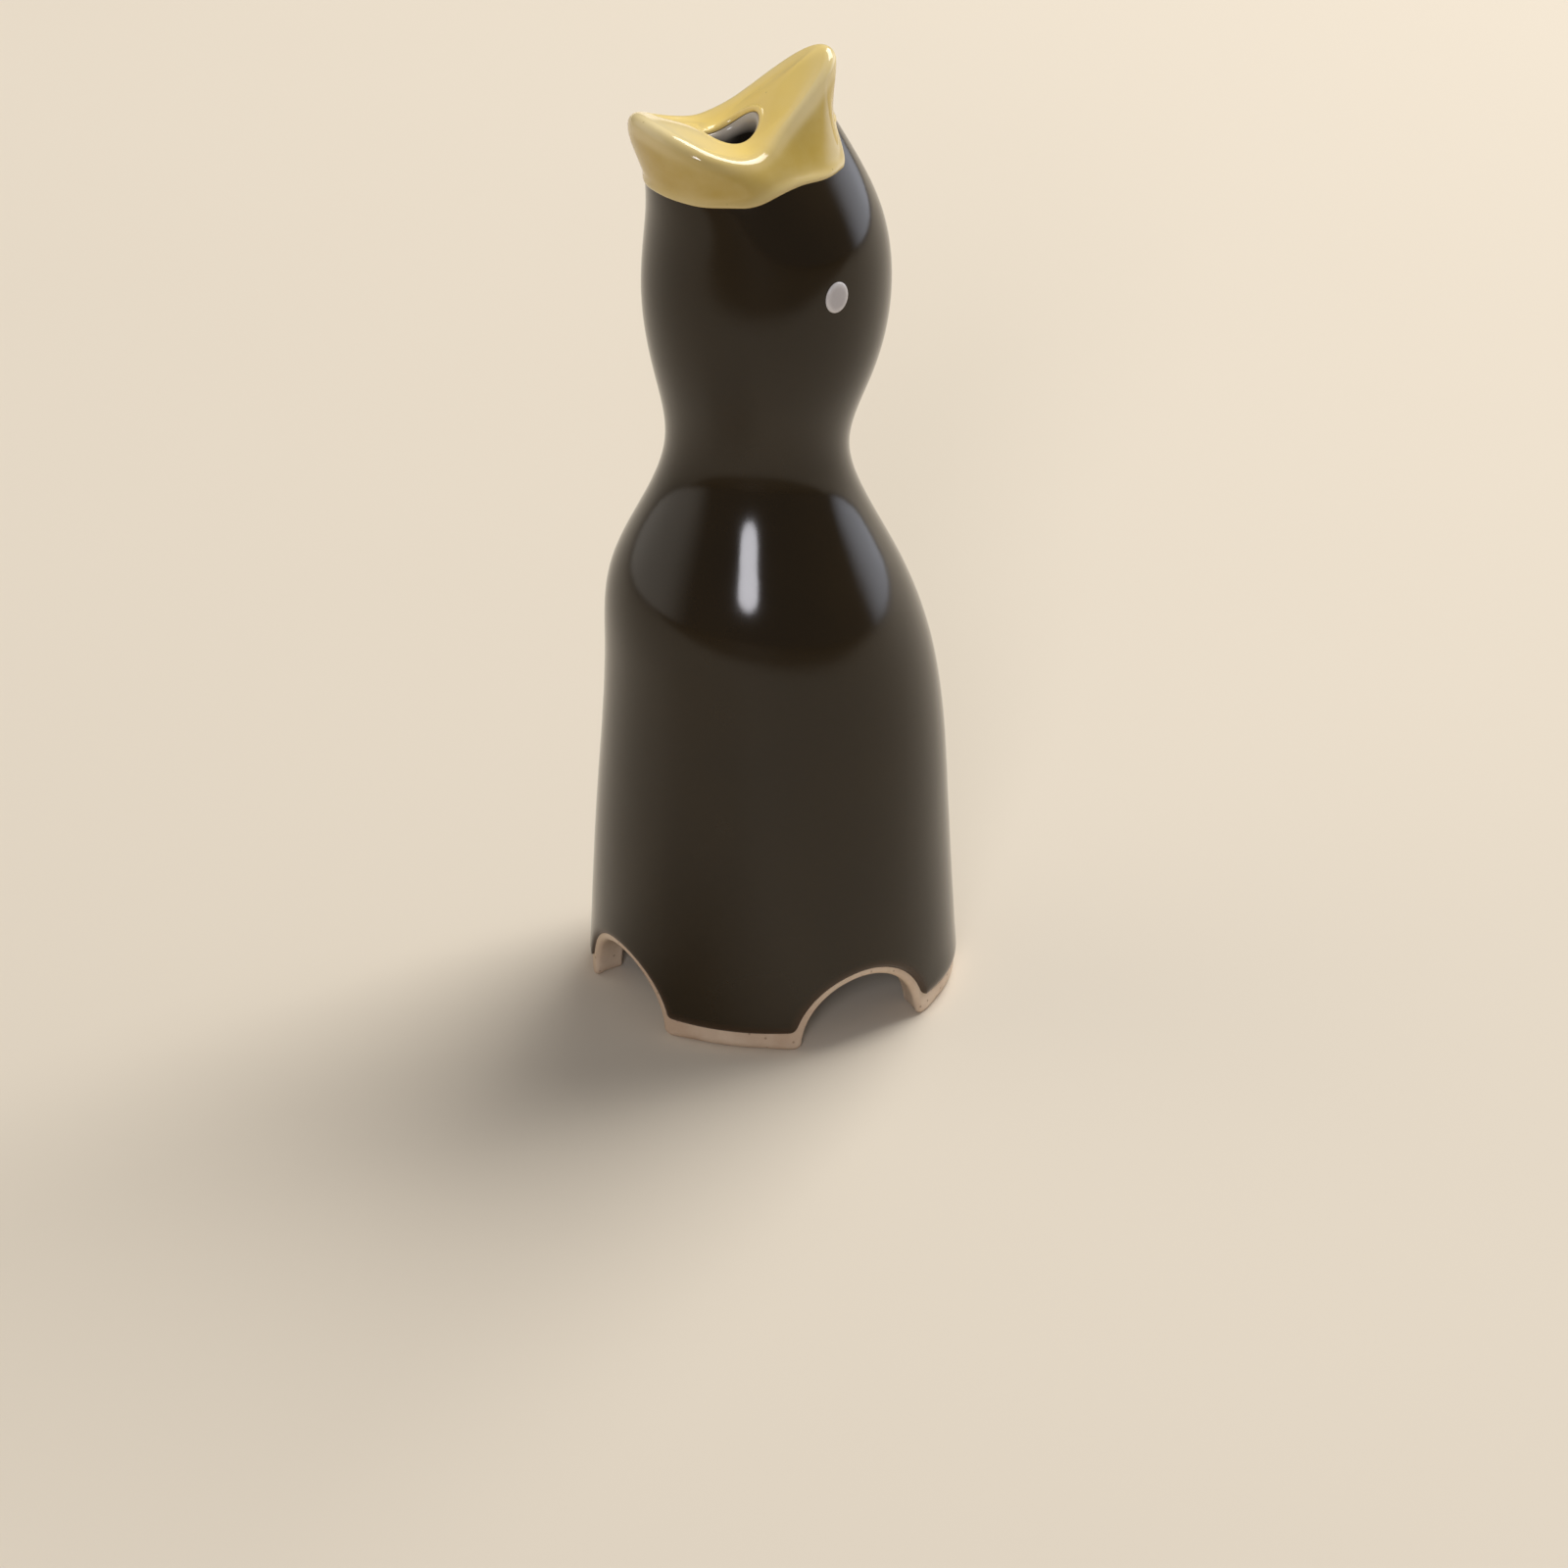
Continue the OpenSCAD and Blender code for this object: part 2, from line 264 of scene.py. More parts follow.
def mouthLip(turn, share):
    return lipPoint(turn, mixed(lipStart(turn), lipEnd(turn), share))


def beakWall(turn, share):
    z = dipHeight(turn)
    root, lip = bodyPoint(z, turn), lipPoint(turn, lipStart(turn))
    rise = unit(bodyPoint(z + slopeStep, turn) - bodyPoint(z - slopeStep, turn))
    reach = np.linalg.norm(lip - root, axis=-1, keepdims=True)
    above = root + rise * reach * beak["rootPull"]
    below = lip - lipHeading(turn, lipStart(turn)) * reach * beak["lipPull"]
    return bezier(root, above, below, lip, share)


def holeRim(turn, grow):
    x = (beak["holeWide"] / 2 + grow) * np.sin(turn)
    y = -beak["holeLead"] - (beak["holeLong"] / 2 + grow) * np.cos(turn)
    return x, y


def rimHeight(y):
    # the hole's rim dips in the middle and climbs towards the upper jaw
    along = y + beak["holeLead"]
    return beak["holeHeight"] + beak["holeTilt"] * along + beak["holeBow"] * along ** 2


def mouthFloor(turn, share):
    lip = lipPoint(turn, lipEnd(turn))
    x, y = holeRim(turn, beak["holeRound"])
    rim = np.stack([x, y, rimHeight(y)], -1)
    farX, farY = holeRim(turn, beak["holeRound"] + slopeStep)
    outward = unit(np.stack([farX, farY, rimHeight(farY)], -1) - rim)
    reach = np.linalg.norm(lip - rim, axis=-1, keepdims=True) * beak["floorPull"]
    return bezier(lip, lip + lipHeading(turn, lipEnd(turn)) * reach, rim + outward * reach, rim, share)


def holeEdge(turn, share):
    # the rounded edge that turns from the mouth's floor down into the hole
    roll = share * np.pi / 2
    x, y = holeRim(turn, beak["holeRound"] * (1 - np.sin(roll)))
    z = rimHeight(holeRim(turn, beak["holeRound"])[1]) - beak["holeRound"] * (1 - np.cos(roll))
    return np.stack([x, y, z], -1)


holeBottom = beak["holeHeight"] - beak["holeDeep"]


def holeWall(turn, share):
    high = holeEdge(turn, 1.0)
    return np.stack([high[..., 0], high[..., 1], mixed(high[..., 2], holeBottom, share)], -1)


def headDome(turn, share):
    x, y = holeRim(turn, 0.0)
    rim = np.stack([x, y, np.full_like(x, holeBottom)], -1)
    low = clay["levels"]["head"][0]
    base = bodyPoint(np.full_like(turn, low), turn, clay["wall"])
    pull = np.array([0, 0, (holeBottom - low) / 2])
    return bezier(rim, rim - pull, base + pull, base, share)


beakSections = ((beakWall, beak["wallRows"]), (mouthLip, beak["lipRows"]),
                (mouthFloor, beak["floorRows"]), (holeEdge, beak["rimRows"]))


def footOutline(radius, arch, base, corner):
    # outline of the glaze or clay round the arches, one point for each column:
    # turn from the nearest arch, height, and the direction of the open side
    halfBay = np.pi / 4  # from the middle of an arch to the middle of a leg
    nearest = np.round(turns / (2 * halfBay)) * 2 * halfBay
    local = turns - nearest
    cornerX = math.sqrt((arch + corner) ** 2 - (base + corner) ** 2)
    low = math.atan2(base + corner, cornerX)
    bend = np.pi / 2 - low  # an arch and its corner both turn through this
    legTurn = math.asin(cornerX / radius)
    archLong = arch * bend
    legStart = archLong + foot["cornerWeight"] * corner * bend
    legLong = radius * (halfBay - legTurn)
    along = np.abs(local) / halfBay * (legStart + legLong)
    onArch = np.pi / 2 - bend * np.clip(along / archLong, 0, 1)
    onCorner = np.pi + low + bend * np.clip((along - archLong) / (legStart - archLong), 0, 1)
    onLeg = mixed(legTurn, halfBay, np.clip((along - legStart) / legLong, 0, 1))
    isArch, isLeg = along < archLong, along > legStart
    x = np.where(isArch, arch * np.cos(onArch), cornerX + corner * np.cos(onCorner))
    z = np.where(isArch, arch * np.sin(onArch), base + corner + corner * np.sin(onCorner))
    openX = np.where(isArch, -np.cos(onArch), np.cos(onCorner))
    openZ = np.where(isArch, -np.sin(onArch), np.sin(onCorner))
    x, z = np.where(isLeg, radius * np.sin(onLeg), x), np.where(isLeg, base, z)
    openX, openZ = np.where(isLeg, 0.0, openX), np.where(isLeg, -1.0, openZ)
    legShare = eased(legStart, legStart + foot["legBlend"] * legLong, along)
    side = np.where(local < 0, -1.0, 1.0)
    return {"nearest": nearest, "turn": side * np.arcsin(x / radius), "z": z, "openX": side * openX,
            "openZ": openZ, "leg": legShare, "radius": radius}


def footRows(outline, edge, inset, count):
    # rows from the outline up to where the columns run straight
    startTurn = outline["turn"] - edge * outline["openX"] / outline["radius"]
    startZ = outline["z"] - edge * outline["openZ"]
    rows = []
    for i in range(count + 1):
        share = i / count
        local = mixed(outline["nearest"] + startTurn, turns, share)
        z = mixed(startZ, foot["blendHeight"], share ** foot["rowSweep"])
        rows.append(bodyPoint(z, local, inset))
    return rows


def footEdge(outline, edge, first, inward, count):
    # rounded edge from the wall's first row round to the underside
    turn = outline["nearest"] + outline["turn"]
    out = np.stack([np.sin(turn), -np.cos(turn), np.zeros_like(turn)], -1)
    along = np.stack([np.cos(turn), np.sin(turn), np.zeros_like(turn)], -1)
    if inward:
        out = -out
    opening = along * outline["openX"][:, None] + upright(outline["openZ"])
    middle = first - edge[:, None] * out
    rolls = [np.pi / 2 * i / count for i in range(1, count + 1)]
    return [middle + edge[:, None] * (math.cos(roll) * out + math.sin(roll) * opening) for roll in rolls]


def bodyRows():
    top, count = dipHeight(turns), clay["bodyRows"]
    return [bodyPoint(mixed(foot["blendHeight"], top, i / count), turns) for i in range(count + 1)]


def flueRows():
    top, count = clay["levels"]["head"][0], clay["flueRows"]
    heights = [mixed(top, foot["blendHeight"], i / count) for i in range(count + 1)]
    return [bodyPoint(np.full_like(turns, z), turns, clay["wall"]) for z in heights]


def clayRows():
    # up the outside, over the lip, down the hole and the flue, and back under the foot
    outer = footOutline(footRadius, foot["archRadius"], 0.0, foot["cornerRound"])
    inner = footOutline(footRadius - clay["wall"], foot["archRadius"], 0.0, foot["cornerRound"])
    outerEdge = mixed(foot["archEdge"], foot["legEdge"], outer["leg"])
    innerEdge = np.full_like(outerEdge, foot["innerEdge"])
    wall = footRows(outer, outerEdge, 0.0, foot["rows"])
    flue = footRows(inner, innerEdge, clay["wall"], foot["rows"])
    rows = footEdge(outer, outerEdge, wall[0], False, foot["edgeRows"])[::-1] + wall + bodyRows()[1:]
    for make, count in beakSections + ((holeWall, beak["throatRows"]), (headDome, clay["domeRows"])):
        rows += [make(turns, i / count) for i in range(1, count + 1)]
    rows += flueRows()[1:-1] + flue[::-1]
    innerRound = footEdge(inner, innerEdge, flue[0], True, foot["edgeRows"])
    sole = [mixed(innerRound[-1], rows[0], i / foot["soleRows"]) for i in range(1, foot["soleRows"])]
    return rows + innerRound + sole


def ringMesh(name, rows, closed):
    # a mesh of rings, each joined to the next; a closed one also joins the last ring to the first
    points = np.array(rows) * mm
    count, across = points.shape[:2]
    low = np.arange(count if closed else count - 1)
    a = low[:, None] * across + np.arange(across)
    b = ((low + 1) % count)[:, None] * across + np.arange(across)
    faces = np.stack([a, np.roll(a, -1, 1), np.roll(b, -1, 1), b], -1).reshape(-1, 4)
    mesh = bpy.data.meshes.new(name)
    mesh.from_pydata(points.reshape(-1, 3), [], faces.tolist())
    mesh.polygons.foreach_set("use_smooth", np.ones(len(faces), bool))
    return mesh


def addFloats(mesh, **layers):
    for name, values in layers.items():
        layer = mesh.attributes.new(name, "FLOAT", "POINT")
        layer.data.foreach_set("value", np.asarray(values, np.float32).ravel())


def addObject(name, data):
    thing = bpy.data.objects.new(name, data)
    bpy.context.scene.collection.objects.link(thing)
    return thing


# Node helpers
def addNode(tree, kind, inputs=None, **settings):
    node = tree.nodes.new(kind)
    for name, value in settings.items():
        setattr(node, name, value)
    for name, value in (inputs or {}).items():
        if isinstance(value, bpy.types.NodeSocket):
            tree.links.new(value, node.inputs[name])
        else:
            node.inputs[name].default_value = value
    return node


def addMath(tree, operation, *values):
    return addNode(tree, "ShaderNodeMath", dict(enumerate(values)), operation=operation).outputs[0]


def scaled(tree, vector, size):
    return addNode(tree, "ShaderNodeVectorMath", {0: vector, "Scale": size}, operation="SCALE").outputs[0]


def dotOf(tree, first, second):
    node = addNode(tree, "ShaderNodeVectorMath", {0: first, 1: second}, operation="DOT_PRODUCT")
    return node.outputs["Value"]


def rangeOf(tree, value, fromLow, fromHigh, toLow, toHigh, kind="LINEAR"):
    ends = {"Value": value, "From Min": fromLow, "From Max": fromHigh, "To Min": toLow, "To Max": toHigh}
    return addNode(tree, "ShaderNodeMapRange", ends, interpolation_type=kind).outputs[0]


def noiseOf(tree, where, scale, detail):
    noise = addNode(tree, "ShaderNodeTexNoise", {"Vector": where, "Scale": scale, "Detail": detail})
    return noise.outputs["Fac"]


def cellsOf(tree, where, scale):
    return addNode(tree, "ShaderNodeTexVoronoi", {"Vector": where, "Scale": scale}).outputs["Distance"]


def namedFloat(tree, name):
    node = addNode(tree, "GeometryNodeInputNamedAttribute", {"Name": name}, data_type="FLOAT")
    return node.outputs["Attribute"]


# One tree lays every coat of glaze and enamel
coatTree = {
    "rippleDetail": 1.0,
    "sewReach": 1e-7,  # metres: points nearer than this are made one
}


def makeGlazeCoat():
    # lays a closed coat of glaze on a sheet: bed lifts it, depth is its thickness
    tree = bpy.data.node_groups.new("glazeCoat", "GeometryNodeTree")
    sockets = tree.interface
    sockets.new_socket("Sheet", in_out="INPUT", socket_type="NodeSocketGeometry")
    for name in ("Ripple", "Ripple size", "Seed"):
        sockets.new_socket(name, in_out="INPUT", socket_type="NodeSocketFloat")
    sockets.new_socket("Finish", in_out="INPUT", socket_type="NodeSocketMaterial")
    sockets.new_socket("Coat", in_out="OUTPUT", socket_type="NodeSocketGeometry")
    given = addNode(tree, "NodeGroupInput").outputs
    normal = addNode(tree, "GeometryNodeInputNormal").outputs["Normal"]
    position = addNode(tree, "GeometryNodeInputPosition").outputs["Position"]
    keep = addNode(tree, "GeometryNodeCaptureAttribute", domain="POINT")
    keep.capture_items.new("VECTOR", "Out")
    tree.links.new(given["Sheet"], keep.inputs["Geometry"])
    tree.links.new(normal, keep.inputs["Out"])
    out = keep.outputs["Out"]
    laid = addNode(tree, "GeometryNodeSetPosition", {
        "Geometry": keep.outputs["Geometry"], "Offset": scaled(tree, out, namedFloat(tree, "bed"))})
    under = addNode(tree, "GeometryNodeFlipFaces", {"Mesh": laid.outputs["Geometry"]})
    grown = addNode(tree, "GeometryNodeExtrudeMesh", {
        "Mesh": laid.outputs["Geometry"], "Offset Scale": 0.0, "Individual": False}, mode="FACES")
    frequency = addMath(tree, "DIVIDE", 1.0, given["Ripple size"])
    noise = addNode(tree, "ShaderNodeTexNoise", {
        "Vector": position, "W": given["Seed"], "Scale": frequency,
        "Detail": coatTree["rippleDetail"]}, noise_dimensions="4D")
    swing = addMath(tree, "SUBTRACT", noise.outputs["Fac"], 0.5)  # half way up the noise is no ripple
    share = addMath(tree, "MULTIPLY_ADD", swing, given["Ripple"], 1.0)
    thick = addMath(tree, "MULTIPLY", namedFloat(tree, "depth"), share)
    raised = addNode(tree, "GeometryNodeSetPosition", {
        "Geometry": grown.outputs["Mesh"], "Selection": grown.outputs["Top"],
        "Offset": scaled(tree, out, thick)})
    whole = addNode(tree, "GeometryNodeJoinGeometry")
    tree.links.new(under.outputs["Mesh"], whole.inputs["Geometry"])
    tree.links.new(raised.outputs["Geometry"], whole.inputs["Geometry"])
    sewn = addNode(tree, "GeometryNodeMergeByDistance", {
        "Geometry": whole.outputs["Geometry"], "Distance": coatTree["sewReach"]})
    smooth = addNode(tree, "GeometryNodeSetShadeSmooth", {"Geometry": sewn.outputs["Geometry"]})
    real = addNode(tree, "GeometryNodeRealizeInstances", {"Geometry": smooth.outputs["Geometry"]})
    finish = addNode(tree, "GeometryNodeSetMaterial", {
        "Geometry": real.outputs["Geometry"], "Material": given["Finish"]})
    end = addNode(tree, "NodeGroupOutput")
    tree.links.new(finish.outputs["Geometry"], end.inputs["Coat"])
    return tree


glazeCoat = makeGlazeCoat()


def layCoat(name, sheet, finish, settings):
    # runs the coat tree on a sheet and keeps the result as a plain mesh
    carrier = addObject(name + "Sheet", sheet)
    coat = carrier.modifiers.new("coat", "NODES")
    coat.node_group = glazeCoat
    values = {"Ripple": settings["ripple"], "Ripple size": settings["rippleSize"] * mm,
              "Seed": settings["seed"], "Finish": finish}
    for item in glazeCoat.interface.items_tree:
        if item.in_out == "INPUT" and item.name in values:
            coat[item.identifier] = values[item.name]
    graph = bpy.context.evaluated_depsgraph_get()
    mesh = bpy.data.meshes.new_from_object(carrier.evaluated_get(graph), preserve_all_data_layers=True,
                                           depsgraph=graph)
    carrier.modifiers.remove(coat)
    bpy.data.objects.remove(carrier)
    mesh.name = name
    return addObject(name, mesh)


def place(piece, node):
    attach(piece, "root")
    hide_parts(node)
    print("made", piece.name, len(piece.data.polygons), "faces")


# Shader helpers
def newMaterial(name):
    material = bpy.data.materials.new(name)
    material.use_nodes = True
    tree = material.node_tree
    return material, tree, tree.nodes["Principled BSDF"]


def mixColours(tree, share, first, second):
    node = addNode(tree, "ShaderNodeMix", {"Factor": share}, data_type="RGBA")
    for index, value in ((6, first), (7, second)):  # the colour sockets
        if isinstance(value, bpy.types.NodeSocket):
            tree.links.new(value, node.inputs[index])
        else:
            node.inputs[index].default_value = (*value, 1.0)
    return node.outputs[2]


def attributeOf(tree, name):
    return addNode(tree, "ShaderNodeAttribute", attribute_name=name).outputs["Fac"]


def shaded(colour, times):
    return [times * c for c in colour]


# Detail of the skin that every glaze has
skinDetail = {"ripple": 2.0, "cloud": 4.0, "pinholeSink": 0.5}


def makeGlazeSkin():
    # ripples, pinholes and cloudiness, each at its own size
    group = bpy.data.node_groups.new("glazeSkin", "ShaderNodeTree")
    sockets = group.interface
    for name in ("Ripple scale", "Pinhole scale", "Pinhole size", "Cloud scale"):
        sockets.new_socket(name, in_out="INPUT", socket_type="NodeSocketFloat")
    for name in ("Height", "Pinhole", "Cloud"):
        sockets.new_socket(name, in_out="OUTPUT", socket_type="NodeSocketFloat")
    given = addNode(group, "NodeGroupInput").outputs
    where = addNode(group, "ShaderNodeTexCoord").outputs["Object"]
    ripple = noiseOf(group, where, given["Ripple scale"], skinDetail["ripple"])
    cloud = noiseOf(group, where, given["Cloud scale"], skinDetail["cloud"])
    cells = cellsOf(group, where, given["Pinhole scale"])
    size = addMath(group, "MULTIPLY", cloud, given["Pinhole size"])  # larger where it is cloudy
    pinhole = rangeOf(group, cells, 0.0, size, 1.0, 0.0, "SMOOTHSTEP")
    height = addMath(group, "MULTIPLY_ADD", pinhole, -skinDetail["pinholeSink"], ripple)
    end = addNode(group, "NodeGroupOutput")
    for name, source in (("Height", height), ("Pinhole", pinhole), ("Cloud", cloud)):
        group.links.new(source, end.inputs[name])
    return group


glazeSkin = makeGlazeSkin()
noiseBand = (0.3, 0.7)  # where most of a noise's values lie


def addSkin(tree, settings):
    sizes = {"Ripple scale": settings["rippleScale"], "Pinhole scale": settings["pinholeScale"],
             "Pinhole size": settings["pinholeSize"], "Cloud scale": settings["cloudScale"]}
    return addNode(tree, "ShaderNodeGroup", sizes, node_tree=glazeSkin).outputs


def setSurface(tree, shader, settings, colour, cloud, height):
    # colour, a roughness that varies with the clouds, and fine relief
    tree.links.new(colour, shader.inputs["Base Color"])
    tree.links.new(rangeOf(tree, cloud, *noiseBand, *settings["rough"]), shader.inputs["Roughness"])
    bump = addNode(tree, "ShaderNodeBump", {
        "Height": height, "Strength": settings["bump"], "Distance": settings["bumpDepth"]})
    tree.links.new(bump.outputs["Normal"], shader.inputs["Normal"])


def darkColour(tree, settings, cloud):
    # clouded where the glaze is deep, and lighter where it runs thin
    deep = mixColours(tree, cloud, settings["deep"], shaded(settings["deep"], settings["cloudLift"]))
    thin = rangeOf(tree, attributeOf(tree, "thin"), 0.0, 1.0, 0.0, settings["thinMost"])
    return mixColours(tree, thin, deep, settings["thin"])


# Black glaze on the body: lengths in millimetres, scales per metre, bump depth in metres
blackGlaze = {
    "depth": 0.3, "ripple": 0.10, "rippleSize": 7.0, "seed": 3.0,
    "dryFoot": 2.0, "dryArch": 0.8, "cornerRound": 1.4, "edgeTaper": 0.7, "bead": 0.15, "beadReach": 1.6,
    "underBeak": 1.1, "underTaper": 0.95,  # how far it runs under the beak's glaze, and what it loses there
    "deep": (0.014, 0.0082, 0.0022), "cloudLift": 1.7,
    "thin": (0.05, 0.026, 0.012), "thinReach": 1.1, "thinMost": 0.9,
    "rippleScale": 260.0, "pinholeScale": 420.0, "pinholeSize": 0.16, "cloudScale": 90.0,
    "rough": (0.11, 0.16), "ior": 1.44, "bump": 0.12, "bumpDepth": 0.00012,
}


def makeBlackGlaze():
    material, tree, shader = newMaterial("blackGlaze")
    skin = addSkin(tree, blackGlaze)
    colour = darkColour(tree, blackGlaze, skin["Cloud"])
    setSurface(tree, shader, blackGlaze, colour, skin["Cloud"], skin["Height"])
    shader.inputs["IOR"].default_value = blackGlaze["ior"]
    return material


# Yellow glaze on the beak
beakGlaze = {
    "depth": 0.3, "ripple": 0.10, "rippleSize": 4.0, "seed": 11.0,
    "edgeTaper": 1.0, "edgeSwell": 0.05, "swellReach": 1.6, "holeTaper": 0.5,
    # the wall colour is partly the glaze's own deeper yellow and partly painted shade, as the outer wall
    # faces away from the main light
    "cream": (0.84, 0.71, 0.41), "amber": (0.86, 0.635, 0.18), "wall": (0.49, 0.342, 0.073),
    # the ridge share is painted sheen along the upper jaw's ridges, in place of a reflection
    "lipPale": 0.22, "tipPale": 0.3, "ridgeSheen": 0.45, "frontPale": 0.5, "edgePale": 0.4, "edgeReach": 1.1,
    "wallThins": 0.7, "lipThickens": 0.5, "floorThickens": 0.6,  # shares of the way over each
    "mouthThin": 0.5, "holeThin": 0.35, "tipBand": (0.2, 0.8), "tipSharp": 10,
    "cloudBand": (0.35, 0.75), "cloudPale": 0.18, "pinholeShare": 0.5, "pinholeShade": 0.5,
    "rippleScale": 420.0, "pinholeScale": 500.0, "pinholeSize": 0.16, "cloudScale": 220.0,
    "rough": (0.06, 0.12), "ior": 1.52, "bump": 0.12, "bumpDepth": 0.00012,
}


def makeBeakGlaze():
    material, tree, shader = newMaterial("beakGlaze")
    skin = addSkin(tree, beakGlaze)
    # amber inside the mouth; on the outside, the darker wall colour that carries painted shade
    base = mixColours(tree, attributeOf(tree, "outside"), beakGlaze["amber"], beakGlaze["wall"])
    cloudy = rangeOf(tree, skin["Cloud"], *beakGlaze["cloudBand"], 0.0, beakGlaze["cloudPale"])
    clouded = mixColours(tree, cloudy, base, beakGlaze["cream"])
    # cream where the glaze runs thin, and also as painted sheen along the upper jaw's ridges
    tone = mixColours(tree, attributeOf(tree, "thin"), clouded, beakGlaze["cream"])
    pitted = rangeOf(tree, skin["Pinhole"], 0.0, 1.0, 0.0, beakGlaze["pinholeShare"])
    colour = mixColours(tree, pitted, tone, shaded(beakGlaze["wall"], beakGlaze["pinholeShade"]))
    setSurface(tree, shader, beakGlaze, colour, skin["Cloud"], skin["Height"])
    shader.inputs["IOR"].default_value = beakGlaze["ior"]
    return material


# Dark glaze inside the flue
linerGlaze = {
    "depth": 0.3, "ripple": 0.2, "rippleSize": 6.0, "seed": 21.0,
    "dryFoot": 2.0, "dryArch": 0.8, "cornerRound": 1.4, "edgeTaper": 0.7,
    "deep": (0.010, 0.008, 0.006), "cloudLift": 2.0,
    "thin": (0.06, 0.035, 0.018), "thinReach": 1.1, "thinMost": 0.9,
    "rim": (0.55, 0.50, 0.43), "rimStart": 0.4, "rimReach": 1.8,
    "rippleScale": 300.0, "pinholeScale": 420.0, "pinholeSize": 0.2, "cloudScale": 90.0,
    "rough": (0.1, 0.22), "bump": 0.2, "bumpDepth": 0.00015,
}


def makeLinerGlaze():
    material, tree, shader = newMaterial("linerGlaze")
    skin = addSkin(tree, linerGlaze)
    inside = darkColour(tree, linerGlaze, skin["Cloud"])
    colour = mixColours(tree, attributeOf(tree, "rim"), inside, linerGlaze["rim"])
    setSurface(tree, shader, linerGlaze, colour, skin["Cloud"], skin["Height"])
    return material


# White enamel of the eyes
eyes = {
    "wide": 2.5, "tall": 3.1, "height": 79.15, "back": -0.2, "lean": 12.0, "depth": 0.25,
    "ripple": 0.1, "rippleSize": 1.2, "seed": 31.0,
    "rings": 14, "spokes": 56, "firstRing": 0.06, "ringPacking": 0.8,
    "seat": 0.97,  # share of the black coat's depth at which the dot sits
    "edgeRound": 6, "edgeLeast": 0.02, "middleSink": 0.14,
    "middle": (0.47, 0.44, 0.44), "rim": (0.66, 0.63, 0.62), "rimBand": (0.55, 0.95), "cloudRim": 0.25,
    "rippleScale": 700.0, "pinholeScale": 900.0, "pinholeSize": 0.1, "cloudScale": 600.0,
    "rough": (0.16, 0.26), "bump": 0.15, "bumpDepth": 0.0001,
}


def makeEyeEnamel():
    material, tree, shader = newMaterial("eyeEnamel")
    skin = addSkin(tree, eyes)
    base = mixColours(tree, attributeOf(tree, "thin"), eyes["middle"], eyes["rim"])
    cloudy = rangeOf(tree, skin["Cloud"], *noiseBand, 0.0, eyes["cloudRim"])
    colour = mixColours(tree, cloudy, base, eyes["rim"])
    setSurface(tree, shader, eyes, colour, skin["Cloud"], skin["Height"])
    return material


# Bare fired clay at the foot
bisque = {
    "pale": (0.66, 0.53, 0.40), "warm": (0.50, 0.36, 0.25), "fleck": (0.22, 0.14, 0.09),
    "cloudScale": 160.0, "cloudDetail": 5.0, "cloudBand": (0.35, 0.65),
    "grainScale": 2600.0, "grainDetail": 3.0,
    "fleckScale": 900.0, "fleckBand": (0.06, 0.16), "fleckShare": 0.7,
    "rough": (0.7, 0.92), "bump": 0.35, "bumpDepth": 0.00015,
}


def makeBisque():
    material, tree, shader = newMaterial("bisque")
    where = addNode(tree, "ShaderNodeTexCoord").outputs["Object"]
    cloud = noiseOf(tree, where, bisque["cloudScale"], bisque["cloudDetail"])
    grain = noiseOf(tree, where, bisque["grainScale"], bisque["grainDetail"])
    flecks = cellsOf(tree, where, bisque["fleckScale"])
    warmth = rangeOf(tree, cloud, *bisque["cloudBand"], 0.0, 1.0)
    base = mixColours(tree, warmth, bisque["pale"], bisque["warm"])
    fleck = rangeOf(tree, flecks, *bisque["fleckBand"], bisque["fleckShare"], 0.0)
    colour = mixColours(tree, fleck, base, bisque["fleck"])
    setSurface(tree, shader, bisque, colour, grain, grain)
    return material


def roundTaper(distance, reach):
    # rises like the edge of a drop, from almost nothing at the edge to full depth
    least = 0.004  # keeps the edge from closing up
    share = np.clip(distance / reach, 0, 1)
    return np.sqrt(np.clip(1 - (1 - share) ** 2, least, 1))


def footDistance(points, settings):
    # how far each point lies from the dry line round the foot and the arches
    x, y, z = np.moveaxis(points, -1, 0)
    toLine = z - settings["dryFoot"]
    arch = foot["archRadius"] + settings["dryArch"]
    toArch = np.minimum(np.hypot(x, z), np.hypot(y, z)) - arch
    return np.clip(np.minimum(toLine, toArch), 0, None)


def footTaper(points, settings):
    # distance from the dry line, share of the full depth, and how thin the glaze looks
    distance = footDistance(points, settings)
    depth = roundTaper(distance, settings["edgeTaper"])
    return distance, depth, 1 - eased(0.0, settings["thinReach"], distance)


def dryOutline(radius, settings):
    arch = foot["archRadius"] + settings["dryArch"]
    return footOutline(radius, arch, settings["dryFoot"], settings["cornerRound"])


def makeBody():
    mesh = ringMesh("clayBody", clayRows(), True)
    mesh.materials.append(makeBisque())
    place(addObject("clayBody", mesh), "clay_body")


def blackDepthAbove(climb):
    # the black coat thins out where it runs under the beak's glaze
    return 1 - blackGlaze["underTaper"] * eased(0.0, blackGlaze["underBeak"], climb)


